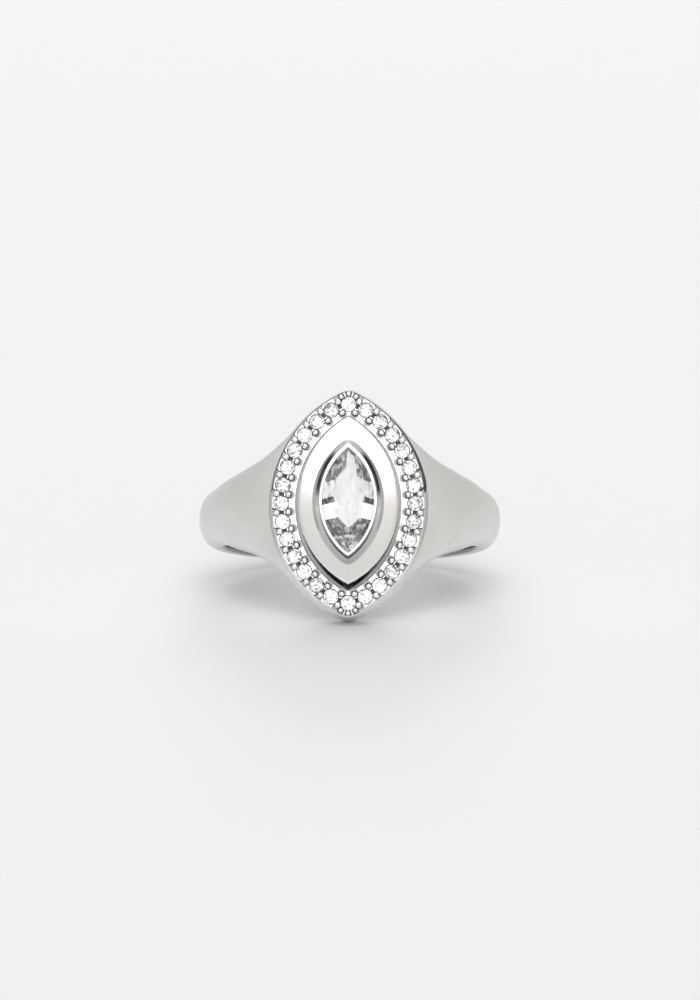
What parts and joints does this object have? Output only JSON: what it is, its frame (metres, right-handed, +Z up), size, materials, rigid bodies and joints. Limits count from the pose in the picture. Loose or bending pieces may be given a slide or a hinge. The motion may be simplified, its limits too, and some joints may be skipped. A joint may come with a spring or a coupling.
{
  "type": "ring",
  "caption": "Finger ring with a pointed oval head lying along the finger, a bezel-set pointed stone on a raised collar and a border of small round stones.",
  "frame": {"origin": "on the surface the ring lies on, under the middle of its box", "axes": "the ring lies on its side: +Z up, the head looks along -Y and a little upwards, the finger axis leans from +Z towards +Y, and X runs across the ring"},
  "size_m": [0.0206, 0.0241, 0.0152],
  "materials": {
    "silver_plate": "polished silver plating, satin on the shoulders",
    "clear_stone": "clear, colourless, cut in facets and polished"
  },
  "bodies": {
    "root": {"ring_body": "silver_plate", "center_stone": "clear_stone", "border_stone_1": "clear_stone", "border_stone_2": "clear_stone", "border_stone_3": "clear_stone", "border_stone_4": "clear_stone", "border_stone_5": "clear_stone", "border_stone_6": "clear_stone", "border_stone_7": "clear_stone", "border_stone_8": "clear_stone", "border_stone_9": "clear_stone", "border_stone_10": "clear_stone", "border_stone_11": "clear_stone", "border_stone_12": "clear_stone", "border_stone_13": "clear_stone", "border_stone_14": "clear_stone", "border_stone_15": "clear_stone", "border_stone_16": "clear_stone", "border_stone_17": "clear_stone", "border_stone_18": "clear_stone", "border_stone_19": "clear_stone", "border_stone_20": "clear_stone", "border_stone_21": "clear_stone", "border_stone_22": "clear_stone", "border_stone_23": "clear_stone", "border_stone_24": "clear_stone", "border_stone_25": "clear_stone", "border_stone_26": "clear_stone", "border_stone_27": "clear_stone", "border_stone_28": "clear_stone"}
  },
  "joints": []
}
